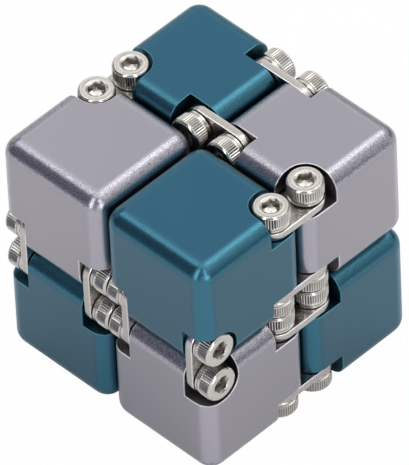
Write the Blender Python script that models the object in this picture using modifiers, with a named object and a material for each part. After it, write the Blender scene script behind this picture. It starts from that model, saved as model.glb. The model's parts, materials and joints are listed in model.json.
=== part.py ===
"""Infinity-style fidget cube: eight rounded aluminium cubes chained in a closed ring by eight
double-pivot hinges.  Each hinge is two link plates, one at each end of the shared edge, and each
plate is held by two socket-head cap screws.  Origin: centre of the bottom faces.  +Z up, metres.
"""
import math

import bmesh
import bpy
from mathutils import Matrix, Vector

MM = 0.001

# ---- driving dimensions -------------------------------------------------------------------------
CUBE = 20.0 * MM            # edge length of one small cube
GAP = 0.7 * MM              # split between neighbouring cubes when folded shut
EDGE_R = 2.75 * MM          # rounding on every cube edge and corner
PIVOT_IN = 3.1 * MM         # pivot axis to the split face, and to the outer face
POCKET_R = 3.1 * MM         # inner corner radius of a hinge pocket, centred on the pivot
POCKET_D = {                # pocket floor below the end face
    "outer": 4.7 * MM,
    "inner": 4.35 * MM,     # next to a split: its screw heads stand a little into the gap
}
PLATE_T = 1.3 * MM          # link plate thickness
PLATE_R = 2.8 * MM          # link plate half width, also its end radius
PLATE_LIFT = 0.2 * MM       # running clearance between plate and pocket floor
HEAD_R = 2.75 * MM          # M3 socket-head cap screw, head radius
HEAD_H = 3.0 * MM           # head height
HEAD_CHAMFER = 0.25 * MM
HEAD_LIFT = 0.1 * MM        # running clearance between head and plate
PROUD_EXTRA = 0.15 * MM     # the one screw that stands higher than the others
SHANK_R = 1.5 * MM
SHANK_L = 4.2 * MM          # shank below the pocket floor
BORE_CLEAR = 0.08 * MM      # radial clearance round a shank, in plate and in cube
BORE_EXTRA = 0.4 * MM       # bore depth past the end of the shank
HEX_AF = 2.5 * MM           # hex socket, across flats
HEX_D = 1.5 * MM            # straight depth of the socket
HEX_CONE = 0.5 * MM         # drilled cone at the bottom of the socket

EDGE_SEGS = 3
POCKET_SEGS = 6
ROUND_SEGS = 16
PLATE_SEGS = 8
OVERCUT = 1.0 * MM          # how far a cutter runs past the surface it opens

OUTER = CUBE + GAP / 2.0    # centre plane to outer face
INNER = GAP / 2.0           # centre plane to split face
MID_Z = OUTER               # height of the centre plane over the bottom faces
PIVOT_STEP = GAP / 2.0 + PIVOT_IN

TEAL = (0.045, 0.14, 0.19, 1.0)
GREY = (0.42, 0.41, 0.44, 1.0)
PLATE_STEEL = (0.60, 0.58, 0.55, 1.0)
SCREW_STEEL = (0.66, 0.64, 0.60, 1.0)

# name: (x side, y side, z side, colour)
CUBES = {
    "cube_top_front": (1, -1, 1, TEAL),
    "cube_top_left": (-1, -1, 1, GREY),
    "cube_top_right": (1, 1, 1, GREY),
    "cube_top_back": (-1, 1, 1, TEAL),
    "cube_bottom_front": (1, -1, -1, GREY),
    "cube_bottom_left": (-1, -1, -1, TEAL),
    "cube_bottom_right": (1, 1, -1, TEAL),
    "cube_bottom_back": (-1, 1, -1, GREY),
}

# name: (first cube, second cube, hinge axis, outer face normal as (axis, side))
HINGES = {
    "left_top": ("cube_top_left", "cube_top_back", 2, (0, -1)),
    "top": ("cube_top_back", "cube_top_right", 1, (2, 1)),
    "right_top": ("cube_top_front", "cube_top_right", 2, (0, 1)),
    "front_left": ("cube_bottom_left", "cube_top_left", 0, (1, -1)),
    "front_right": ("cube_bottom_front", "cube_top_front", 0, (1, -1)),
    "right_bottom": ("cube_bottom_front", "cube_bottom_right", 2, (0, 1)),
    "bottom": ("cube_bottom_back", "cube_bottom_right", 1, (2, -1)),
    "left_bottom": ("cube_bottom_left", "cube_bottom_back", 2, (0, -1)),
}
PROUD_SCREW = "screw_right_top_outer_top_right"


def clear_scene():
    for obj in list(bpy.data.objects):
        bpy.data.objects.remove(obj, do_unlink=True)
    for mesh in list(bpy.data.meshes):
        bpy.data.meshes.remove(mesh)


def collection(name):
    coll = bpy.data.collections.new(name)
    bpy.context.scene.collection.children.link(coll)
    return coll


def material(name, colour, roughness, metallic=1.0):
    mat = bpy.data.materials.new(name)
    mat.use_nodes = True
    shader = mat.node_tree.nodes["Principled BSDF"]
    shader.inputs["Base Color"].default_value = colour
    shader.inputs["Roughness"].default_value = roughness
    shader.inputs["Metallic"].default_value = metallic
    mat.diffuse_color = colour
    return mat


def mesh_object(name, bm, coll, matrix):
    bmesh.ops.recalc_face_normals(bm, faces=bm.faces)
    mesh = bpy.data.meshes.new(name)
    bm.to_mesh(mesh)
    bm.free()
    obj = bpy.data.objects.new(name, mesh)
    obj.matrix_world = matrix
    coll.objects.link(obj)
    return obj


def cutter(name, bm, matrix):
    obj = mesh_object(name, bm, CUTTERS, matrix)
    obj.display_type = "WIRE"
    obj.hide_render = True
    return obj


def cut(obj, tool, label):
    mod = obj.modifiers.new(label, "BOOLEAN")
    mod.operation = "DIFFERENCE"
    mod.solver = "EXACT"
    mod.object = tool


def box(bm, low, high):
    """Axis-aligned box between two corners; returns its vertices."""
    size = [high[i] - low[i] for i in range(3)]
    centre = [(high[i] + low[i]) / 2.0 for i in range(3)]
    scale = Matrix.Diagonal((size[0], size[1], size[2], 1.0))
    made = bmesh.ops.create_cube(bm, size=1.0, matrix=Matrix.Translation(centre) @ scale)
    return made["verts"]


def rod(bm, radius, z_low, z_high, segments, x=0.0, y=0.0, top_radius=None, turn=0.0):
    """Closed cylinder or cone along local Z."""
    if top_radius is None:
        top_radius = radius
    place = Matrix.Translation((x, y, (z_low + z_high) / 2.0)) @ Matrix.Rotation(turn, 4, "Z")
    bmesh.ops.create_cone(bm, cap_ends=True, segments=segments, radius1=radius,
                          radius2=top_radius, depth=z_high - z_low, matrix=place)


def axis_vector(axis, side):
    vec = Vector((0.0, 0.0, 0.0))
    vec[axis] = side
    return vec


def cube_signs(name):
    return Vector(CUBES[name][:3])


def hinge_frame(hinge, end):
    """Frame of one hinge end: local Z out of the end face, local X towards the second cube,
    local Y out of the object; its origin on the split plane, level with the pivots, at the end
    face."""
    first, second, axis, (face_axis, face_side) = HINGES[hinge]
    signs = cube_signs(first)
    side = signs[axis]
    reach = OUTER if end == "outer" else INNER
    out = axis_vector(axis, side if end == "outer" else -side)
    across = (cube_signs(second) - signs) / 2.0
    outward = axis_vector(face_axis, face_side)
    origin = Vector((0.0, 0.0, MID_Z))
    origin += axis_vector(axis, side) * reach
    origin += outward * (OUTER - PIVOT_IN)
    frame = Matrix.Identity(4)
    for row in range(3):
        frame[row][0] = across[row]
        frame[row][1] = outward[row]
        frame[row][2] = out[row]
        frame[row][3] = origin[row]
    return frame


def ends_of(cube_name):
    """Every (hinge, end, side along the hinge frame's X) that opens into this cube."""
    found = []
    for hinge, (first, second, _axis, _face) in HINGES.items():
        for end in ("outer", "inner"):
            if cube_name == first:
                found.append((hinge, end, -1))
            if cube_name == second:
                found.append((hinge, end, 1))
    return found


def round_edges(bm, edges, radius, segments):
    bmesh.ops.bevel(bm, geom=list(edges), offset=radius, offset_type="OFFSET",
                    segments=segments, profile=0.5, affect="EDGES", clamp_overlap=False)


def pocket_body(bm, frame, side, depth):
    """Pocket cutter: square plan open to both faces, its one inner corner rounded."""
    reach = PIVOT_STEP + POCKET_R
    low = [-OVERCUT, -POCKET_R, -depth]
    high = [reach, PIVOT_IN + OVERCUT, OVERCUT]
    temp = bmesh.new()
    box(temp, low, high)
    corner = []
    for edge in temp.edges:
        upright = abs(edge.verts[0].co.z - edge.verts[1].co.z) > OVERCUT
        inner = edge.verts[0].co.x > reach - OVERCUT and edge.verts[0].co.y < 0.0
        if upright and inner:
            corner.append(edge)
    round_edges(temp, corner, POCKET_R, POCKET_SEGS)
    bmesh.ops.transform(temp, matrix=frame @ Matrix.Diagonal((side, 1.0, 1.0, 1.0)),
                        verts=temp.verts)
    bmesh.ops.recalc_face_normals(temp, faces=temp.faces)
    merge_into(bm, temp)


def merge_into(bm, temp):
    scratch = bpy.data.meshes.new("scratch")
    temp.to_mesh(scratch)
    temp.free()
    bm.from_mesh(scratch)
    bpy.data.meshes.remove(scratch)


def make_cube(name):
    signs = cube_signs(name)
    centre = Vector((0.0, 0.0, MID_Z)) + signs * (CUBE + GAP) / 2.0
    bm = bmesh.new()
    half = CUBE / 2.0
    box(bm, (-half, -half, -half), (half, half, half))
    round_edges(bm, bm.edges, EDGE_R, EDGE_SEGS)
    obj = mesh_object(name, bm, PARTS, Matrix.Translation(centre))
    obj.data.materials.append(material(name + "_anodised", CUBES[name][3], 0.35))

    pockets = bmesh.new()
    bores = bmesh.new()
    for hinge, end, side in ends_of(name):
        frame = hinge_frame(hinge, end)
        depth = POCKET_D[end]
        pocket_body(pockets, frame, side, depth)
        drill = bmesh.new()
        rod(drill, SHANK_R + BORE_CLEAR, -depth - SHANK_L - BORE_EXTRA,
            -depth + OVERCUT, ROUND_SEGS, x=side * PIVOT_STEP)
        bmesh.ops.transform(drill, matrix=frame, verts=drill.verts)
        bmesh.ops.recalc_face_normals(drill, faces=drill.faces)
        merge_into(bores, drill)
    cut(obj, cutter(name + "_pocket_cut", pockets, Matrix.Identity(4)), "pockets")
    cut(obj, cutter(name + "_bore_cut", bores, Matrix.Identity(4)), "bores")
    return obj


def stadium(bm, half_width, half_step, z_low, z_high, segments):
    """Straight-sided plate with full-round ends along local X."""
    verts = []
    for end in (1, -1):
        for i in range(segments + 1):
            angle = math.pi * (i / segments - 0.5)
            x = end * (half_step + half_width * math.cos(angle))
            y = end * half_width * math.sin(angle)
            verts.append(bm.verts.new((x, y, z_low)))
    base = bm.faces.new(verts)
    raised = bmesh.ops.extrude_face_region(bm, geom=[base])
    top = [item for item in raised["geom"] if isinstance(item, bmesh.types.BMVert)]
    bmesh.ops.translate(bm, verts=top, vec=(0.0, 0.0, z_high - z_low))


def make_link(hinge, end):
    name = "link_" + hinge + "_" + end
    frame = hinge_frame(hinge, end)
    z_low = -POCKET_D[end] + PLATE_LIFT
    place = frame @ Matrix.Translation((-PIVOT_STEP, 0.0, z_low))
    bm = bmesh.new()
    stadium(bm, PLATE_R, PIVOT_STEP, 0.0, PLATE_T, PLATE_SEGS)
    bmesh.ops.translate(bm, verts=bm.verts, vec=(PIVOT_STEP, 0.0, 0.0))
    obj = mesh_object(name, bm, PARTS, proper(place))
    obj.data.materials.append(material(name + "_steel", PLATE_STEEL, 0.25))
    holes = bmesh.new()
    for step in (-PIVOT_STEP, PIVOT_STEP):
        drill = bmesh.new()
        rod(drill, SHANK_R + BORE_CLEAR, z_low - OVERCUT, z_low + PLATE_T + OVERCUT,
            ROUND_SEGS, x=step)
        bmesh.ops.transform(drill, matrix=frame, verts=drill.verts)
        bmesh.ops.recalc_face_normals(drill, faces=drill.faces)
        merge_into(holes, drill)
    cut(obj, cutter(name + "_hole_cut", holes, Matrix.Identity(4)), "holes")
    return obj


def proper(matrix):
    """Right-handed version of a frame: flips local Y when the frame is mirrored."""
    if matrix.determinant() < 0.0:
        return matrix @ Matrix.Diagonal((1.0, -1.0, 1.0, 1.0))
    return matrix.copy()


def make_screw(hinge, end, side):
    cube_name = HINGES[hinge][0] if side < 0 else HINGES[hinge][1]
    name = "screw_" + hinge + "_" + end + "_" + cube_name.replace("cube_", "")
    seat = -POCKET_D[end] + PLATE_LIFT + PLATE_T + HEAD_LIFT
    if name == PROUD_SCREW:
        seat += PROUD_EXTRA
    frame = proper(hinge_frame(hinge, end) @ Matrix.Translation((side * PIVOT_STEP, 0.0, seat)))
    tip = -POCKET_D[end] - SHANK_L - seat

    # half profile from the tip to the top of the head, spun by the Screw modifier
    profile = [(0.0, tip), (SHANK_R, tip), (SHANK_R, 0.0), (HEAD_R, 0.0),
               (HEAD_R, HEAD_H - HEAD_CHAMFER), (HEAD_R - HEAD_CHAMFER, HEAD_H), (0.0, HEAD_H)]
    bm = bmesh.new()
    verts = [bm.verts.new((radius, 0.0, height)) for radius, height in profile]
    for start, stop in zip(verts[:-1], verts[1:]):
        bm.edges.new((start, stop))
    mesh = bpy.data.meshes.new(name)
    bm.to_mesh(mesh)
    bm.free()
    obj = bpy.data.objects.new(name, mesh)
    obj.matrix_world = frame
    PARTS.objects.link(obj)
    spin = obj.modifiers.new("turn", "SCREW")
    spin.axis = "Z"
    spin.angle = 2.0 * math.pi
    spin.steps = ROUND_SEGS
    spin.render_steps = ROUND_SEGS
    spin.screw_offset = 0.0
    spin.use_merge_vertices = True
    spin.merge_threshold = 0.000001
    spin.use_normal_calculate = True
    spin.use_smooth_shade = True
    obj.data.materials.append(material(name + "_steel", SCREW_STEEL, 0.2))

    corner = HEX_AF / math.sqrt(3.0)
    socket = bmesh.new()
    rod(socket, corner, HEAD_H - HEX_D, HEAD_H + OVERCUT, 6, turn=math.pi / 6.0)
    floor = [f for f in socket.faces if all(v.co.z < HEAD_H - HEX_D / 2.0 for v in f.verts)]
    tipped = bmesh.ops.poke(socket, faces=floor)
    bmesh.ops.translate(socket, verts=tipped["verts"], vec=(0.0, 0.0, -HEX_CONE))
    cut(obj, cutter(name + "_socket_cut", socket, frame), "socket")
    return obj


def empty_at(name, location):
    obj = bpy.data.objects.new(name, None)
    obj.empty_display_size = 2.0 * MM
    obj.location = location
    PARTS.objects.link(obj)
    return obj


def parent_keep(obj, parent, offset):
    obj.parent = parent
    obj.matrix_parent_inverse = Matrix.Translation(-offset)


clear_scene()
PARTS = collection("fidget_cube")
CUTTERS = collection("fidget_cube_cutters")
CUTTERS.hide_render = True

# Moving groups, as a chain of empties on the pivot axes.  name: (parent, pivot x, y, z)
SIDE_X = OUTER - PIVOT_IN
FRONT_Y = -(OUTER - PIVOT_IN)
GROUPS = {
    "left_bottom_links": (None, -SIDE_X, PIVOT_STEP, MID_Z - OUTER / 2.0),
    "left_bottom_block": ("left_bottom_links", -SIDE_X, -PIVOT_STEP, MID_Z - OUTER / 2.0),
    "front_left_links": ("left_bottom_block", -OUTER / 2.0, FRONT_Y, MID_Z - PIVOT_STEP),
    "left_top_block": ("front_left_links", -OUTER / 2.0, FRONT_Y, MID_Z + PIVOT_STEP),
    "left_top_links": ("left_top_block", -SIDE_X, -PIVOT_STEP, MID_Z + OUTER / 2.0),
    "back_top_pair": ("left_top_links", -SIDE_X, PIVOT_STEP, MID_Z + OUTER / 2.0),
    "right_bottom_links": (None, SIDE_X, PIVOT_STEP, MID_Z - OUTER / 2.0),
    "front_bottom_block": ("right_bottom_links", SIDE_X, -PIVOT_STEP, MID_Z - OUTER / 2.0),
    "front_right_links": ("front_bottom_block", OUTER / 2.0, FRONT_Y, MID_Z - PIVOT_STEP),
    "front_top_block": ("front_right_links", OUTER / 2.0, FRONT_Y, MID_Z + PIVOT_STEP),
    "right_top_links": ("front_top_block", SIDE_X, -PIVOT_STEP, MID_Z + OUTER / 2.0),
}
CUBE_GROUP = {
    "cube_bottom_left": "left_bottom_block",
    "cube_top_left": "left_top_block",
    "cube_top_back": "back_top_pair",
    "cube_top_right": "back_top_pair",
    "cube_bottom_front": "front_bottom_block",
    "cube_top_front": "front_top_block",
}
LINK_GROUP = {
    "left_bottom": "left_bottom_links",
    "front_left": "front_left_links",
    "left_top": "left_top_links",
    "top": "back_top_pair",
    "right_bottom": "right_bottom_links",
    "front_right": "front_right_links",
    "right_top": "right_top_links",
}

pivots = {}
for group_name, (group_parent, px, py, pz) in GROUPS.items():
    pivot = empty_at(group_name + "_pivot", Vector((px, py, pz)))
    pivots[group_name] = (pivot, Vector((px, py, pz)))
    if group_parent is not None:
        parent_keep(pivot, *pivots[group_parent])


def join_group(obj, group_name):
    if group_name is not None:
        parent_keep(obj, *pivots[group_name])


for cube_name in CUBES:
    join_group(make_cube(cube_name), CUBE_GROUP.get(cube_name))

for hinge_name, hinge_spec in HINGES.items():
    for hinge_end in ("outer", "inner"):
        join_group(make_link(hinge_name, hinge_end), LINK_GROUP.get(hinge_name))
        for cube_side in (-1, 1):
            owner_cube = hinge_spec[0] if cube_side < 0 else hinge_spec[1]
            join_group(make_screw(hinge_name, hinge_end, cube_side), CUBE_GROUP.get(owner_cube))

for part in PARTS.objects:
    if part.type == "MESH":
        part.data.shade_smooth()
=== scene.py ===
"""Visual model of the folding fidget cube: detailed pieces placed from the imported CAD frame."""

import json
import math
import random

import bmesh
import bpy
from mathutils import Matrix, Vector


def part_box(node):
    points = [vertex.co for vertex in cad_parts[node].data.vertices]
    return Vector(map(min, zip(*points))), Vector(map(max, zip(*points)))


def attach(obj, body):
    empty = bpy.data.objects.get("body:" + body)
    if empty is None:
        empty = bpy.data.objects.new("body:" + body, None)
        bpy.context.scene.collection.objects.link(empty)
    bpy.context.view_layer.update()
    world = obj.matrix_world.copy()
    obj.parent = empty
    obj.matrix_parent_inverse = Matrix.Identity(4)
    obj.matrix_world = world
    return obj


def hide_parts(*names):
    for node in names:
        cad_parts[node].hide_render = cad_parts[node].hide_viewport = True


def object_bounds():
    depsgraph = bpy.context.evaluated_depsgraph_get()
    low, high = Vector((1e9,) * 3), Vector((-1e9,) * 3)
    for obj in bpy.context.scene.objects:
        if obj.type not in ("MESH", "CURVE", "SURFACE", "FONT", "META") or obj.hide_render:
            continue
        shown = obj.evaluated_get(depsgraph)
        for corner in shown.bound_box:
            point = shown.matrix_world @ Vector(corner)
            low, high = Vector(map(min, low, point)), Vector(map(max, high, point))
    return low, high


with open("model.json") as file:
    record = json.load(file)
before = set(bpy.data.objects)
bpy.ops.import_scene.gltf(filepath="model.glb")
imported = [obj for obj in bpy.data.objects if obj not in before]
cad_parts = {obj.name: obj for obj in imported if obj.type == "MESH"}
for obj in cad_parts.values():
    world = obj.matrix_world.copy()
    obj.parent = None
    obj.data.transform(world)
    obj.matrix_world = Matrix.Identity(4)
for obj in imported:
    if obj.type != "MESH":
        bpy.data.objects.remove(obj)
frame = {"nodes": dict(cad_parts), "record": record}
CAD_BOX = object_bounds()
RECORD = frame["record"]
BODIES = RECORD["behaviour"]["bodies"]
SLOTS = {row["node"]: row["material_slot"] for row in RECORD["subparts"]}
BODY_OF = {node: body for body, nodes in BODIES.items() for node in nodes}

MM = 0.001

# blocks
EDGE_R = 2.75 * MM          # rounding on every edge
EDGE_SEGS = 10
POCKET_SEGS = 16            # segments of a pocket's round corner
POCKET_REACH = 3.0 * MM     # how far a pocket cutter runs past the block
POCKET_DEPTH_MIN = 0.08 * MM    # a face deeper than this under the surface is in a pocket and takes the painted shade
RIM_BREAK = 0.15 * MM       # small edge break round the pockets and bores, coloured as a painted highlight
RIM_ANGLE = math.radians(30.0)
PLATE_LIFT = 0.2 * MM       # plate to pocket floor
BORE_R = 1.58 * MM
BORE_DEPTH = 4.6 * MM
BORE_SEGS = 40

# link plates
PLATE_END_SEGS = 28         # segments of each round end
PLATE_BREAK = 0.16 * MM     # broken edge all round, coloured as a painted highlight
PLATE_BREAK_ANGLE = math.radians(40.0)

# socket-head cap screws
HEAD_H = 3.0 * MM
SHANK_R = 1.5 * MM
HEX_AF = 2.5 * MM           # across flats
HEX_D = 1.5 * MM
HEX_CONE_D = 0.48 * MM      # drill point below the hex
MOUTH_R = 1.62 * MM         # countersunk mouth of the hex socket
MOUTH_SLOPE = 0.8
KNURL_TEETH = 44
KNURL_DEPTH = 0.13 * MM
KNURL_FORM = (0.0, 0.55, 1.0, 0.55)     # depth round one tooth, as a share of KNURL_DEPTH
THREAD_PITCH = 0.5 * MM
THREAD_DEPTH = 0.22 * MM
PLAIN_SHANK = 2.0 * MM      # shank without thread, under the head

# finish
SMOOTH_ANGLE = math.radians(32.0)
NORMAL_WEIGHT = 60
# ranges of the largest part of a unit normal, from the rounding to a flat face
ROUND_TO_FLAT = (0.95, 0.998)   # for the grain tone, whose strength on the rounding is a painted glint, and for its relief
EDGE_HIGHLIGHT_TO_FACE = (0.93, 0.995)    # for the change from the painted edge highlight colour to the face colour
# ranges of the Z part of a unit normal, from upright to level
SIDE_TO_TOP_PAINTED_LIGHT = (0.15, 0.85)      # for the face colours, which paint how the light falls on level and upright faces
UPRIGHT_EDGE_HIGHLIGHT = (0.1, 0.4)       # for the painted edge highlight colours
GRAIN_GLINT_UPWARD = (0.05, 0.35)     # for the grain tone's painted glint on the upward rounding
GRAIN_GLINT_UPRIGHT = 0.12        # share of the grain tone and its painted glint that upright surfaces keep
GRAIN_SCALE = 5200.0        # blasted grain, features a metre
GRAIN_FLAT = 0.03           # how much the grain varies the tone on the flat faces
BUMP_FLAT = 0.01            # strength of its relief on the flats and on the rounding
BUMP_ROUND = 0.3
GRAIN_HEIGHT = 0.03 * MM
CLOUD_SCALE = 260.0         # slow change of tone in the dye
CLOUD_SHARE = 0.03
GLOSS_SCALE = 120.0         # slow change of gloss
GLOSS_CHANGE = 0.01
NICKEL_CLOUD_SCALE = 700.0  # duller patches in the plating
NICKEL_DULL = 0.72
NICKEL_DULL_SHARE = 0.35
POLISH_SCALE = 3500.0
POLISH_BUMP = 0.25
POLISH_HEIGHT = 0.02 * MM
BRUSH_STRETCH = 0.06        # polishing lines are drawn out along the brushed axis

# stage and light
FLOOR_SIZE = 3.0
FLOOR_TONE = 0.855
BACKDROP_WHITE = 0.98       # how white the camera sees the floor
WORLD_FILL = 0.02
DOME_RADIUS = 0.9
FILL_BELOW = 0.5            # boxes fainter than this stand for the room's fill
FILL_TINT = (0.84, 0.87, 1.18)

# camera
CAM_AZ_DEG = 46.56
CAM_EL_DEG = 45.41
CAM_ROLL_DEG = -2.83
CAM_DIST = 1.5962
CAM_TARGET = (0.0, 0.0, 0.02035)
PX_PER_M = 7030.0           # image scale at the target
SENSOR = 36.0
FRAME_W, FRAME_H = 409, 465
TARGET_X, TARGET_Y = 205.2, 234.4   # where the target falls in the frame

random.seed(7)


# ---- small helpers ------------------------------------------------------------------------------
def spans(node):
    """A node's lowest and highest corners as vectors."""
    low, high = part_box(node)
    return Vector(low), Vector(high)


def middle(node):
    low, high = spans(node)
    return (low + high) / 2.0


def unit(axis, side=1.0):
    vec = Vector((0.0, 0.0, 0.0))
    vec[axis] = side
    return vec


def new_object(name, mesh):
    obj = bpy.data.objects.new(name, mesh)
    bpy.context.scene.collection.objects.link(obj)
    return obj


def bm_to_mesh(name, bm):
    """Mesh with its normals outward; the bmesh is freed."""
    bmesh.ops.recalc_face_normals(bm, faces=bm.faces)
    mesh = bpy.data.meshes.new(name)
    bm.to_mesh(mesh)
    bm.free()
    return mesh


def modifier(obj, kind, **settings):
    """Add a modifier and set its values."""
    mod = obj.modifiers.new(kind.lower(), kind)
    for key, value in settings.items():
        setattr(mod, key, value)


def baked(obj, name):
    """The object's mesh with its modifiers applied; the object itself is removed."""
    bpy.context.view_layer.update()
    graph = bpy.context.evaluated_depsgraph_get()
    mesh = bpy.data.meshes.new_from_object(obj.evaluated_get(graph))
    mesh.name = name
    bpy.data.objects.remove(obj, do_unlink=True)
    return mesh


def finish_piece(obj, node, *materials):
    """Materials and shading; the CAD node that the piece stands for is hidden and the piece is
    attached to that node's body.
    """
    for material in materials:
        obj.data.materials.append(material)
    obj.data.shade_smooth()
    obj.data.set_sharp_from_angle(angle=SMOOTH_ANGLE)
    modifier(obj, "WEIGHTED_NORMAL", keep_sharp=True, weight=NORMAL_WEIGHT)
    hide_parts(node)
    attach(obj, BODY_OF[node])


# ---- materials ----------------------------------------------------------------------------------
class Nodes:
    """Thin wrapper that keeps node building to one line a node."""

    def __init__(self, name):
        self.mat = bpy.data.materials.new(name)
        self.mat.use_nodes = True
        self.tree = self.mat.node_tree
        self.shader = self.tree.nodes["Principled BSDF"]

    def add(self, kind, **settings):
        node = self.tree.nodes.new(kind)
        for key, value in settings.items():
            setattr(node, key, value)
        return node

    def link(self, out_node, out_name, in_node, in_name):
        self.tree.links.new(out_node.outputs[out_name], in_node.inputs[in_name])


def noise(nodes, coords, scale, detail, roughness=0.55):
    """Noise over the piece's own coordinates, which are in metres."""
    tex = nodes.add("ShaderNodeTexNoise")
    tex.inputs["Scale"].default_value = scale
    tex.inputs["Detail"].default_value = detail
    tex.inputs["Roughness"].default_value = roughness
    nodes.link(coords, "Object", tex, "Vector")
    return tex


def remap(nodes, source, out_name, low, high, to_low, to_high):
    """Map a value from one range to another, clamped at the ends."""
    node = nodes.add("ShaderNodeMapRange")
    node.inputs["From Min"].default_value = low
    node.inputs["From Max"].default_value = high
    node.inputs["To Min"].default_value = to_low
    node.inputs["To Max"].default_value = to_high
    nodes.link(source, out_name, node, "Value")
    return node


def mix_colour(nodes, factor_node, factor_name, first, second):
    """Colour mix; each side is a colour or another mix node."""
    node = nodes.add("ShaderNodeMix", data_type="RGBA")
    nodes.tree.links.new(factor_node.outputs[factor_name], node.inputs[0])
    for index, value in ((6, first), (7, second)):
        if isinstance(value, tuple):
            node.inputs[index].default_value = value
        else:
            nodes.tree.links.new(value.outputs[2], node.inputs[index])
    return node


def largest(nodes, split):
    """Largest absolute part of a unit normal, 1 on the flat faces and less on the rounding,
    and its absolute Z part, 1 on level faces and 0 on upright ones."""
    parts = []
    for axis in "XYZ":
        part = nodes.add("ShaderNodeMath", operation="ABSOLUTE")
        nodes.link(split, axis, part, 0)
        parts.append(part)
    result = parts[0]
    for part in parts[1:]:
        bigger = nodes.add("ShaderNodeMath", operation="MAXIMUM")
        nodes.link(result, "Value", bigger, 0)
        nodes.link(part, "Value", bigger, 1)
        result = bigger
    return result, parts[2]


def anodised(name, top_painted_light_colour, side_painted_light_colour, edge_highlight_colour, upright_edge_highlight_colour, rough, grain_and_glint_round):
    """Bead-blasted, dyed aluminium: one satin colour for level faces and one for upright faces,
    which differ as painted light, and two for the rounding, which are painted highlights, with a
    fine blasted grain whose strong tone on the upward rounding is a painted glint, and a faint,
    slow change of gloss."""
    nodes = Nodes(name)
    shader = nodes.shader
    coords = nodes.add("ShaderNodeTexCoord")
    split = nodes.add("ShaderNodeSeparateXYZ")
    nodes.link(coords, "Normal", split, "Vector")
    flatness, lift = largest(nodes, split)
    # painted light: level and upright faces take different colours for how the light falls on them
    top_side_painted_light = remap(nodes, lift, "Value", *SIDE_TO_TOP_PAINTED_LIGHT, 0.0, 1.0)
    face = mix_colour(nodes, top_side_painted_light, "Result", side_painted_light_colour, top_painted_light_colour)
    # painted highlight: the rounding takes its own lighter colours, one where it looks up and one
    # on upright edges
    flat = remap(nodes, flatness, "Value", *EDGE_HIGHLIGHT_TO_FACE, 0.0, 1.0)
    upright = remap(nodes, lift, "Value", *UPRIGHT_EDGE_HIGHLIGHT, 1.0, 0.0)
    edge = mix_colour(nodes, upright, "Result", edge_highlight_colour, upright_edge_highlight_colour)
    tone = mix_colour(nodes, flat, "Result", edge, face)
    cloud = noise(nodes, coords, CLOUD_SCALE, 4.0)
    shade = remap(nodes, cloud, "Fac", 0.3, 0.7, 0.0, CLOUD_SHARE)
    paler = tuple(min(1.0, c * 1.25 + 0.01) for c in top_painted_light_colour[:3]) + (1.0,)
    final = mix_colour(nodes, shade, "Result", tone, paler)
    # blasted grain: varies the tone on the roundings that look up, as a painted glint over the
    # real grain, hardly on the upright ones
    grain = noise(nodes, coords, GRAIN_SCALE, 1.0, 0.5)
    depth = remap(nodes, flatness, "Value", *ROUND_TO_FLAT, grain_and_glint_round, GRAIN_FLAT)
    centred = nodes.add("ShaderNodeMath", operation="SUBTRACT")
    nodes.link(grain, "Fac", centred, 0)
    centred.inputs[1].default_value = 0.5
    grain_and_glint_tone = nodes.add("ShaderNodeMath", operation="MULTIPLY_ADD")
    nodes.link(centred, "Value", grain_and_glint_tone, 0)
    glint_upward = remap(nodes, lift, "Value", *GRAIN_GLINT_UPWARD, GRAIN_GLINT_UPRIGHT, 1.0)
    strength = nodes.add("ShaderNodeMath", operation="MULTIPLY")
    nodes.link(depth, "Result", strength, 0)
    nodes.link(glint_upward, "Result", strength, 1)
    nodes.link(strength, "Value", grain_and_glint_tone, 1)
    grain_and_glint_tone.inputs[2].default_value = 1.0
    sparkle = nodes.add("ShaderNodeHueSaturation")
    nodes.link(grain_and_glint_tone, "Value", sparkle, "Value")
    nodes.tree.links.new(final.outputs[2], sparkle.inputs["Color"])
    nodes.link(sparkle, "Color", shader, "Base Color")
    gloss = noise(nodes, coords, GLOSS_SCALE, 0.0)
    rough_map = remap(nodes, gloss, "Fac", 0.0, 1.0, rough - GLOSS_CHANGE, rough + GLOSS_CHANGE)
    nodes.link(rough_map, "Result", shader, "Roughness")
    bump = nodes.add("ShaderNodeBump")
    relief = remap(nodes, flatness, "Value", *ROUND_TO_FLAT, BUMP_ROUND, BUMP_FLAT)
    nodes.link(relief, "Result", bump, "Strength")
    bump.inputs["Distance"].default_value = GRAIN_HEIGHT
    nodes.link(grain, "Fac", bump, "Height")
    nodes.link(bump, "Normal", shader, "Normal")
    shader.inputs["Metallic"].default_value = 1.0
    return nodes.mat


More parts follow.
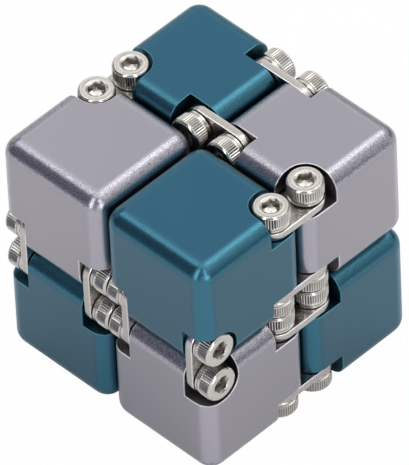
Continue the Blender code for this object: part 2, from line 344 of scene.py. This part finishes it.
def nickel(name, colour, rough, brush=None):
    """Nickel-plated steel; brush is the local axis that polishing lines run along."""
    nodes = Nodes(name)
    shader = nodes.shader
    coords = nodes.add("ShaderNodeTexCoord")
    cloud = noise(nodes, coords, NICKEL_CLOUD_SCALE, 4.0)
    shade = remap(nodes, cloud, "Fac", 0.3, 0.75, 0.0, NICKEL_DULL_SHARE)
    dull = tuple(c * NICKEL_DULL for c in colour[:3]) + (1.0,)
    tone = mix_colour(nodes, shade, "Result", colour, dull)
    nodes.tree.links.new(tone.outputs[2], shader.inputs["Base Color"])
    fine = nodes.add("ShaderNodeTexNoise")
    fine.inputs["Scale"].default_value = POLISH_SCALE
    fine.inputs["Detail"].default_value = 3.0
    if brush is None:
        nodes.link(coords, "Object", fine, "Vector")
    else:
        stretch = nodes.add("ShaderNodeMapping")
        scale = [1.0, 1.0, 1.0]
        scale[brush] = BRUSH_STRETCH
        stretch.inputs["Scale"].default_value = scale
        nodes.link(coords, "Object", stretch, "Vector")
        nodes.link(stretch, "Vector", fine, "Vector")
    rough_map = remap(nodes, cloud, "Fac", 0.25, 0.75, rough - 0.04, rough + 0.07)
    nodes.link(rough_map, "Result", shader, "Roughness")
    bump = nodes.add("ShaderNodeBump")
    bump.inputs["Strength"].default_value = POLISH_BUMP
    bump.inputs["Distance"].default_value = POLISH_HEIGHT
    nodes.link(fine, "Fac", bump, "Height")
    nodes.link(bump, "Normal", shader, "Normal")
    shader.inputs["Metallic"].default_value = 1.0
    return nodes.mat


# The two face colours paint how light falls on level and upright faces; the two lighter edge
# colours are painted highlights on the rounding; the last number sets the grain tone, strongest as
# a painted glint on the upward rounding.
TEAL = anodised("teal_anodised_satin", (0.0388, 0.132, 0.203, 1.0), (0.060, 0.139, 0.187, 1.0),
                (0.050, 0.168, 0.228, 1.0), (0.054, 0.177, 0.248, 1.0), 0.28, 1.1)
GREY = anodised("grey_anodised_satin", (0.366, 0.354, 0.397, 1.0), (0.365, 0.345, 0.375, 1.0),
                (0.378, 0.369, 0.412, 1.0), (0.445, 0.425, 0.472, 1.0), 0.28, 2.1)
# painted highlight: lighter colours for the fine chamfers round the pockets and bores
TEAL_RIM_PAINTED_HIGHLIGHT = nickel("teal_cut_rim", (0.075, 0.24, 0.30, 1.0), 0.28)
GREY_RIM_PAINTED_HIGHLIGHT = nickel("grey_cut_rim", (0.70, 0.69, 0.72, 1.0), 0.28)
# painted shade: darker colours for the pocket faces, where shade falls
TEAL_POCKET_PAINTED_SHADE = nickel("teal_machined_pocket", (0.028, 0.095, 0.145, 1.0), 0.34)
GREY_POCKET_PAINTED_SHADE = nickel("grey_machined_pocket", (0.165, 0.155, 0.172, 1.0), 0.34)
PLATE = nickel("plate_nickel_satin", (0.56, 0.53, 0.50, 1.0), 0.24, brush=0)
# painted highlight: a lighter colour for the broken edge of the plates
PLATE_RIM_PAINTED_HIGHLIGHT = nickel("plate_nickel_broken_edge", (0.86, 0.84, 0.81, 1.0), 0.22)
SCREW = nickel("screw_nickel_bright", (0.66, 0.635, 0.59, 1.0), 0.19)
# painted shade: a darker colour for the walls of the hex socket
SCREW_SOCKET_PAINTED_SHADE = nickel("screw_nickel_socket", (0.42, 0.39, 0.35, 1.0), 0.24)
# painted shade: a darker colour for the valleys of the knurl
SCREW_VALLEY_PAINTED_SHADE = nickel("screw_nickel_knurl_valley", (0.36, 0.345, 0.32, 1.0), 0.30)


# ---- blocks -------------------------------------------------------------------------------------
def screws_of(block):
    """Every screw that runs into this block, with its axis and outward sign."""
    found = []
    centre = middle(block)
    tail = block.replace("cube_", "")
    for node in frame["nodes"]:
        if node.startswith("screw_") and node.endswith("_" + tail):
            low, high = spans(node)
            size = high - low
            axis = max(range(3), key=lambda i: size[i])
            side = 1.0 if middle(node)[axis] > centre[axis] else -1.0
            found.append((node, axis, side))
    return found


def plate_of(screw):
    """The link plate that a screw holds."""
    for node in frame["nodes"]:
        if node.startswith("link_") and screw.startswith(node.replace("link_", "screw_") + "_"):
            return node
    raise ValueError(screw)


def rounded_box(bm, low, high, radius, segments, edge_filter=None):
    """Box with all its edges rounded, or only those that the filter picks."""
    size = [high[i] - low[i] for i in range(3)]
    centre = [(high[i] + low[i]) / 2.0 for i in range(3)]
    place = Matrix.Translation(centre) @ Matrix.Diagonal((size[0], size[1], size[2], 1.0))
    bmesh.ops.create_cube(bm, size=1.0, matrix=place)
    edges = [e for e in bm.edges if edge_filter is None or edge_filter(e)]
    bmesh.ops.bevel(bm, geom=edges, offset=radius, offset_type="OFFSET", segments=segments,
                    profile=0.5, affect="EDGES", clamp_overlap=False)


def pocket_cutter(block, screw, axis, side):
    """Square pocket open to both faces, its one inner corner rounded round the pivot."""
    low, high = spans(block)
    pivot = middle(screw)
    plate_low, plate_high = spans(plate_of(screw))
    inner = plate_low[axis] if side > 0 else plate_high[axis]
    floor = inner - side * PLATE_LIFT
    out = POCKET_REACH
    a, b = [i for i in range(3) if i != axis]
    reach = {}
    lo = [0.0, 0.0, 0.0]
    hi = [0.0, 0.0, 0.0]
    for i in (a, b):
        near_high = pivot[i] > (low[i] + high[i]) / 2.0
        inset = (high[i] - pivot[i]) if near_high else (pivot[i] - low[i])
        reach[i] = (1.0 if near_high else -1.0, inset)
        lo[i] = pivot[i] - inset if near_high else low[i] - out
        hi[i] = high[i] + out if near_high else pivot[i] + inset
    lo[axis] = floor if side > 0 else low[axis] - out
    hi[axis] = high[axis] + out if side > 0 else floor
    corner = {i: (lo[i] if reach[i][0] > 0 else hi[i]) for i in (a, b)}
    tiny = 0.01 * MM

    def is_corner(edge):
        first, second = edge.verts[0].co, edge.verts[1].co
        upright = abs(first[axis] - second[axis]) > MM
        at_corner = all(abs(v[i] - corner[i]) < tiny for v in (first, second) for i in (a, b))
        return upright and at_corner

    bm = bmesh.new()
    rounded_box(bm, lo, hi, reach[a][1], POCKET_SEGS, is_corner)
    return new_object("pocket_tool", bm_to_mesh("pocket_tool", bm)), floor


def bore_cutter(screw, axis, side, floor):
    """Blind bore for the screw, starting just above the pocket floor."""
    bm = bmesh.new()
    start = floor + side * MM
    stop = floor - side * BORE_DEPTH
    centre = middle(screw)
    centre[axis] = (start + stop) / 2.0
    turn = unit(axis).to_track_quat("Z", "Y").to_matrix().to_4x4()
    bmesh.ops.create_cone(bm, cap_ends=True, segments=BORE_SEGS, radius1=BORE_R, radius2=BORE_R,
                          depth=abs(start - stop), matrix=Matrix.Translation(centre) @ turn)
    return new_object("bore_tool", bm_to_mesh("bore_tool", bm))


def make_block(node, material):
    """Rounded block with its pockets and bores cut and their rims broken."""
    low, high = spans(node)
    bm = bmesh.new()
    rounded_box(bm, low, high, EDGE_R, EDGE_SEGS)
    raw = new_object("raw_block", bm_to_mesh("raw_block", bm))
    tools = []
    for screw, axis, side in screws_of(node):
        pocket, floor = pocket_cutter(node, screw, axis, side)
        bore = bore_cutter(screw, axis, side, floor)
        tools += [pocket, bore]
    for tool in tools:
        modifier(raw, "BOOLEAN", operation="DIFFERENCE", solver="EXACT", object=tool)
    mesh = baked(raw, "raw_block")
    for tool in tools:
        bpy.data.objects.remove(tool, do_unlink=True)
    bm = bmesh.new()
    bm.from_mesh(mesh)
    bmesh.ops.remove_doubles(bm, verts=bm.verts, dist=0.02 * MM)
    break_rims(bm, low, high)
    bm.to_mesh(mesh)
    bm.free()
    mesh.name = node.replace("cube_", "block_") + "_anodised"
    obj = new_object(mesh.name, mesh)
    # painted light on the cuts: a highlight colour for the rims and a shade colour for the pockets
    cut = (TEAL_RIM_PAINTED_HIGHLIGHT, TEAL_POCKET_PAINTED_SHADE) if material is TEAL else (GREY_RIM_PAINTED_HIGHLIGHT, GREY_POCKET_PAINTED_SHADE)
    finish_piece(obj, node, material, *cut)


def outside_by(point, low, high):
    """Distance of a point from the surface of the uncut rounded block; negative inside."""
    out = [abs(point[i] - (low[i] + high[i]) / 2.0) - (high[i] - low[i]) / 2.0 + EDGE_R
           for i in range(3)]
    beyond = Vector([max(v, 0.0) for v in out]).length
    return beyond + min(max(out), 0.0) - EDGE_R


def break_rims(bm, low, high):
    """Pocket faces take the third material, a painted shade; every sharp outside edge gets a fine
    chamfer in the second, a painted highlight."""
    bm.normal_update()
    for face in bm.faces:
        # pocket faces get the painted shade colour
        inside = outside_by(face.calc_center_median(), low, high) < -POCKET_DEPTH_MIN
        face.material_index = 2 if inside else 0
    # the chamfers take the painted highlight colour
    sharp = [e for e in bm.edges if e.is_manifold and e.is_convex
             and e.calc_face_angle(0.0) > RIM_ANGLE]
    bmesh.ops.bevel(bm, geom=sharp, offset=RIM_BREAK, offset_type="OFFSET", segments=2,
                    profile=0.5, affect="EDGES", clamp_overlap=False, material=1)


# ---- link plates --------------------------------------------------------------------------------
def make_plate(node):
    """Blanked stadium plate with two pivot holes, edges broken all round."""
    low, high = spans(node)
    size = high - low
    long_axis = max(range(3), key=lambda i: size[i])
    thin_axis = min(range(3), key=lambda i: size[i])
    wide_axis = 3 - long_axis - thin_axis
    half_w = size[wide_axis] / 2.0
    step = size[long_axis] / 2.0 - half_w
    thick = size[thin_axis]
    bm = bmesh.new()
    verts = []
    for end in (1, -1):
        for i in range(PLATE_END_SEGS + 1):
            angle = math.pi * (i / PLATE_END_SEGS - 0.5)
            x = end * (step + half_w * math.cos(angle))
            y = end * half_w * math.sin(angle)
            verts.append(bm.verts.new((x, y, -thick / 2.0)))
    base = bm.faces.new(verts)
    raised = bmesh.ops.extrude_face_region(bm, geom=[base])
    top = [item for item in raised["geom"] if isinstance(item, bmesh.types.BMVert)]
    bmesh.ops.translate(bm, verts=top, vec=(0.0, 0.0, thick))
    raw = new_object("raw_plate", bm_to_mesh("raw_plate", bm))
    for material in (PLATE, PLATE_RIM_PAINTED_HIGHLIGHT):
        raw.data.materials.append(material)
    tools = []
    for x in (-step, step):
        hole = bmesh.new()
        bmesh.ops.create_cone(hole, cap_ends=True, segments=BORE_SEGS, radius1=BORE_R,
                              radius2=BORE_R, depth=thick * 3.0,
                              matrix=Matrix.Translation((x, 0.0, 0.0)))
        tools.append(new_object("hole_tool", bm_to_mesh("hole_tool", hole)))
    for tool in tools:
        modifier(raw, "BOOLEAN", operation="DIFFERENCE", solver="EXACT", object=tool)
    # the broken edge takes the painted highlight colour
    modifier(raw, "BEVEL", width=PLATE_BREAK, segments=2, limit_method="ANGLE",
             angle_limit=PLATE_BREAK_ANGLE, material=1)
    name = node.replace("link_", "plate_") + "_nickel"
    mesh = baked(raw, name)
    for tool in tools:
        bpy.data.objects.remove(tool, do_unlink=True)
    x_dir, z_dir = unit(long_axis), unit(thin_axis)
    y_dir = z_dir.cross(x_dir)
    turn = Matrix((x_dir, y_dir, z_dir)).transposed().to_4x4()
    obj = new_object(name, mesh)
    obj.matrix_world = Matrix.Translation((low + high) / 2.0) @ turn
    finish_piece(obj, node)


# ---- cap screws ---------------------------------------------------------------------------------
def ring(bm, radius, height, count, tooth=0.0):
    """One ring of vertices; radius and height may be numbers or functions of the angle."""
    verts = []
    for i in range(count):
        angle = 2.0 * math.pi * i / count
        r = radius(angle) if callable(radius) else radius
        if tooth:
            r -= tooth * KNURL_FORM[i % len(KNURL_FORM)]
        z = height(angle) if callable(height) else height
        verts.append(bm.verts.new((r * math.cos(angle), r * math.sin(angle), z)))
    return verts


def bridge(bm, lower, upper):
    """Faces between two rings, returned in ring order."""
    count = len(lower)
    faces = []
    for i in range(count):
        j = (i + 1) % count
        faces.append(bm.faces.new((lower[i], lower[j], upper[j], upper[i])))
    return faces


def hex_radius(angle):
    """Distance from the axis to the wall of the hex socket at an angle."""
    sector = math.pi / 3.0
    local = (angle % sector) - sector / 2.0
    return HEX_AF / 2.0 / math.cos(local)


def screw_mesh(name, head_r, length):
    """Socket-head cap screw: plain base band, knurl, chamfered rim and hex socket, rolled thread.
    Local Z is out of the head; z = 0 is the underside of the head."""
    count = KNURL_TEETH * len(KNURL_FORM)
    bm = bmesh.new()
    band_r = head_r - 0.03 * MM
    top = HEAD_H
    profile = [
        # radius, height, knurl depth
        (SHANK_R, 0.0, 0.0),
        (head_r - 0.24 * MM, 0.0, 0.0),
        (head_r - 0.12 * MM, 0.05 * MM, 0.0),
        (head_r - 0.06 * MM, 0.14 * MM, 0.0),
        (head_r - 0.06 * MM, 0.44 * MM, 0.0),
        (head_r - 0.20 * MM, 0.50 * MM, 0.0),
        (head_r - 0.20 * MM, 0.60 * MM, 0.0),
        (band_r, 0.68 * MM, 0.0),
        (band_r, 0.86 * MM, 0.0),
        (head_r, 0.98 * MM, KNURL_DEPTH),
        (head_r, top - 0.46 * MM, KNURL_DEPTH),
        (band_r, top - 0.36 * MM, KNURL_DEPTH * 0.3),
        (head_r - 0.04 * MM, top - 0.30 * MM, 0.0),
        (head_r - 0.07 * MM, top - 0.24 * MM, 0.0),
        (head_r - 0.25 * MM, top - 0.05 * MM, 0.0),
        (head_r - 0.31 * MM, top - 0.012 * MM, 0.0),
        (head_r - 0.40 * MM, top, 0.0),
        (MOUTH_R + 0.06 * MM, top, 0.0),
        (MOUTH_R, top - 0.02 * MM, 0.0),
    ]
    rings = [ring(bm, radius, height, count, tooth) for radius, height, tooth in profile]
    rings.append(ring(bm, hex_radius,
                      lambda a: top - (MOUTH_R - hex_radius(a)) * MOUTH_SLOPE, count))
    rings.append(ring(bm, hex_radius, top - HEX_D, count))
    cone_r = HEX_AF / 2.0 - 0.03 * MM
    rings.append(ring(bm, cone_r, top - HEX_D - 0.01 * MM, count))
    rings.append(ring(bm, cone_r * 0.5, top - HEX_D - 0.24 * MM, count))
    wall = len(rings) - 3
    for index, (lower, upper) in enumerate(zip(rings[:-1], rings[1:])):
        faces = bridge(bm, lower, upper)
        # the hex socket wall takes the painted shade colour
        if index + 1 == wall:
            for face in faces:
                face.material_index = 1
        # the knurl valleys take the painted shade colour
        elif 0 < index < len(profile) - 1 and profile[index][2] and profile[index + 1][2]:
            for i, face in enumerate(faces):
                face.material_index = 2 if i % 4 in (1, 2) else 0
    tip = bm.verts.new((0.0, 0.0, top - HEX_D - HEX_CONE_D))
    last = rings[-1]
    for i in range(count):
        bm.faces.new((last[i], last[(i + 1) % count], tip))

    # thread, running down from the underside of the head
    root_r = SHANK_R - THREAD_DEPTH
    heights = [(-PLAIN_SHANK, SHANK_R)]
    z = -PLAIN_SHANK
    while z - THREAD_PITCH > -length + 0.3 * MM:
        heights += [(z - 0.2 * THREAD_PITCH, root_r), (z - 0.5 * THREAD_PITCH, root_r),
                    (z - 0.75 * THREAD_PITCH, SHANK_R), (z - THREAD_PITCH, SHANK_R)]
        z -= THREAD_PITCH
    heights += [(-length + 0.05 * MM, SHANK_R - 0.3 * MM), (-length, SHANK_R - 0.45 * MM)]
    previous = rings[0]
    for z, radius in heights:
        current = ring(bm, radius, z, count)
        bridge(bm, current, previous)
        previous = current
    bm.faces.new(list(reversed(previous)))
    return bm_to_mesh(name, bm)


def make_screw(node, turn_angle):
    """Cap screw in its place, turned about its own axis by the given angle."""
    low, high = spans(node)
    size = high - low
    axis = max(range(3), key=lambda i: size[i])
    block = next(n for n in frame["nodes"] if n.startswith("cube_")
                 and node.endswith("_" + n.replace("cube_", "")))
    side = 1.0 if middle(node)[axis] > middle(block)[axis] else -1.0
    a = (axis + 1) % 3
    head_r = size[a] / 2.0
    origin = middle(node)
    origin[axis] = (high[axis] if side > 0 else low[axis]) - side * HEAD_H
    turn = unit(axis, side).to_track_quat("Z", "Y").to_matrix().to_4x4()
    name = node + "_nickel"
    mesh = screw_mesh(name, head_r, size[axis] - HEAD_H)
    mesh.transform(Matrix.Rotation(turn_angle, 4, "Z"))
    obj = new_object(name, mesh)
    obj.matrix_world = Matrix.Translation(origin) @ turn
    finish_piece(obj, node, SCREW, SCREW_SOCKET_PAINTED_SHADE, SCREW_VALLEY_PAINTED_SHADE)


# ---- build --------------------------------------------------------------------------------------
for node in sorted(frame["nodes"]):
    if node.startswith("cube_"):
        make_block(node, TEAL if SLOTS[node] == "teal_anodised" else GREY)
    elif node.startswith("link_"):
        make_plate(node)
    elif node.startswith("screw_"):
        make_screw(node, random.uniform(0.0, math.pi / 3.0))

# ---- stage, light and camera --------------------------------------------------------------------
scene = bpy.context.scene
scene.view_settings.view_transform = "Standard"
scene.view_settings.look = "None"

floor_bm = bmesh.new()
bmesh.ops.create_grid(floor_bm, x_segments=1, y_segments=1, size=FLOOR_SIZE)
floor = new_object("floor", bm_to_mesh("floor", floor_bm))


def white_backdrop(name, surface):
    """The surface lights the object as usual; the camera sees it as a clean white sweep."""
    mat = bpy.data.materials.new(name)
    mat.use_nodes = True
    tree = mat.node_tree
    shader = tree.nodes["Principled BSDF"]
    shader.inputs["Base Color"].default_value = (surface, surface, surface, 1.0)
    shader.inputs["Roughness"].default_value = 0.8
    path = tree.nodes.new("ShaderNodeLightPath")
    glow = tree.nodes.new("ShaderNodeEmission")
    glow.inputs["Color"].default_value = (1.0, 1.0, 1.0, 1.0)
    blend = tree.nodes.new("ShaderNodeMixShader")
    share = tree.nodes.new("ShaderNodeMath")
    share.operation = "MULTIPLY"
    share.inputs[1].default_value = BACKDROP_WHITE
    tree.links.new(path.outputs["Is Camera Ray"], share.inputs[0])
    tree.links.new(share.outputs[0], blend.inputs[0])
    tree.links.new(shader.outputs[0], blend.inputs[1])
    tree.links.new(glow.outputs[0], blend.inputs[2])
    tree.links.new(blend.outputs[0], tree.nodes["Material Output"].inputs["Surface"])
    return mat


floor.data.materials.append(white_backdrop("pale_floor", FLOOR_TONE))


def softbox(name, position, target, width, height, radiance):
    """Area light whose brightness is given as radiance, so its reflection reads directly.
    The faint boxes stand for the room's fill and are cooler than the lamps."""
    data = bpy.data.lights.new(name, "AREA")
    if radiance < FILL_BELOW:
        data.color = FILL_TINT
    data.shape = "RECTANGLE"
    data.size = width
    data.size_y = height
    data.energy = radiance * math.pi * width * height
    light = bpy.data.objects.new(name, data)
    scene.collection.objects.link(light)
    aim = (Vector(target) - Vector(position)).to_track_quat("-Z", "Y")
    light.rotation_euler = aim.to_euler()
    light.location = position
    light.visible_camera = False


CENTRE = Vector((0.0, 0.0, (CAD_BOX[0][2] + CAD_BOX[1][2]) / 2.0))


def around(azimuth, elevation, distance):
    """Point round the object; azimuth 0 is in front of it, degrees."""
    a = math.radians(azimuth)
    e = math.radians(elevation)
    return CENTRE + Vector((math.sin(a) * math.cos(e), -math.cos(a) * math.cos(e),
                            math.sin(e))) * distance


# Studio dome of softboxes round the object.
# azimuth from the camera, elevation (degrees), width, height (metres), radiance
SOFTBOXES = [
    (0, 12, 0.46, 0.36, 1.1),
    (30, 12, 0.46, 0.36, 1.87),
    (60, 12, 0.46, 0.36, 0.32),
    (90, 12, 0.46, 0.36, 0.81),
    (120, 12, 0.46, 0.36, 0.24),
    (150, 12, 0.46, 0.36, 0.5),
    (180, 12, 0.46, 0.36, 0.85),
    (210, 12, 0.46, 0.36, 0.8),
    (240, 12, 0.46, 0.36, 0.4),
    (270, 12, 0.46, 0.36, 0.1),
    (300, 12, 0.46, 0.36, 0.37),
    (330, 12, 0.46, 0.36, 0.1),
    (0, 34, 0.4, 0.36, 0.33),
    (30, 34, 0.4, 0.36, 0.37),
    (60, 34, 0.4, 0.36, 0.72),
    (90, 34, 0.4, 0.36, 0.77),
    (120, 34, 0.4, 0.36, 0.92),
    (150, 34, 0.4, 0.36, 0.82),
    (180, 34, 0.4, 0.36, 1.12),
    (210, 34, 0.4, 0.36, 0.35),
    (240, 34, 0.4, 0.36, 0.5),
    (270, 34, 0.4, 0.36, 0.19),
    (300, 34, 0.4, 0.36, 0.09),
    (330, 34, 0.4, 0.36, 0.25),
    (0, 56, 0.36, 0.36, 0.36),
    (40, 56, 0.36, 0.36, 0.69),
    (80, 56, 0.36, 0.36, 1.32),
    (120, 56, 0.36, 0.36, 2.55),
    (160, 56, 0.36, 0.36, 0.9),
    (200, 56, 0.36, 0.36, 1.14),
    (240, 56, 0.36, 0.36, 1.73),
    (280, 56, 0.36, 0.36, 0.07),
    (320, 56, 0.36, 0.36, 0.45),
    (0, 76, 0.34, 0.3, 0.95),
    (72, 76, 0.34, 0.3, 1.34),
    (144, 76, 0.34, 0.3, 1.19),
    (216, 76, 0.34, 0.3, 0.94),
    (288, 76, 0.34, 0.3, 1.24),
    (-40, 30, 0.2, 1, 3.6),
    (24, 30, 0.16, 1, 3.2),
]
for index, (azimuth, elevation, width, height, radiance) in enumerate(SOFTBOXES):
    softbox("softbox_%02d" % index, around(CAM_AZ_DEG + azimuth, elevation, DOME_RADIUS),
            CENTRE, width, height, radiance)

world = bpy.data.worlds.new("studio")
scene.world = world
world.use_nodes = True
tree = world.node_tree
path = tree.nodes.new("ShaderNodeLightPath")
strength = tree.nodes.new("ShaderNodeMapRange")
strength.inputs["To Min"].default_value = WORLD_FILL
strength.inputs["To Max"].default_value = 1.0
tree.links.new(path.outputs["Is Camera Ray"], strength.inputs["Value"])
tree.nodes["Background"].inputs["Color"].default_value = (1.0, 1.0, 1.0, 1.0)
tree.links.new(strength.outputs["Result"], tree.nodes["Background"].inputs["Strength"])

CAM_AZ = math.radians(CAM_AZ_DEG)
CAM_EL = math.radians(CAM_EL_DEG)
CAM_ROLL = math.radians(CAM_ROLL_DEG)
OFFSET_X, OFFSET_Y = TARGET_X - FRAME_W / 2.0, TARGET_Y - FRAME_H / 2.0

back = Vector((math.sin(CAM_AZ) * math.cos(CAM_EL), -math.cos(CAM_AZ) * math.cos(CAM_EL),
               math.sin(CAM_EL)))
right = Vector((math.cos(CAM_AZ), math.sin(CAM_AZ), 0.0))
up = back.cross(right)
right_r = right * math.cos(CAM_ROLL) + up * math.sin(CAM_ROLL)
up_r = up * math.cos(CAM_ROLL) - right * math.sin(CAM_ROLL)
cam_data = bpy.data.cameras.new("camera")
cam_data.sensor_fit = "HORIZONTAL"
cam_data.sensor_width = SENSOR
cam_data.lens = PX_PER_M * CAM_DIST * SENSOR / FRAME_W
cam_data.clip_start = 0.01
cam_data.clip_end = 20.0
cam_data.shift_x = -OFFSET_X / FRAME_W
cam_data.shift_y = OFFSET_Y / FRAME_W
camera = bpy.data.objects.new("camera", cam_data)
scene.collection.objects.link(camera)
basis = Matrix((right_r, up_r, back)).transposed().to_4x4()
camera.matrix_world = Matrix.Translation(Vector(CAM_TARGET) + back * CAM_DIST) @ basis
scene.camera = camera
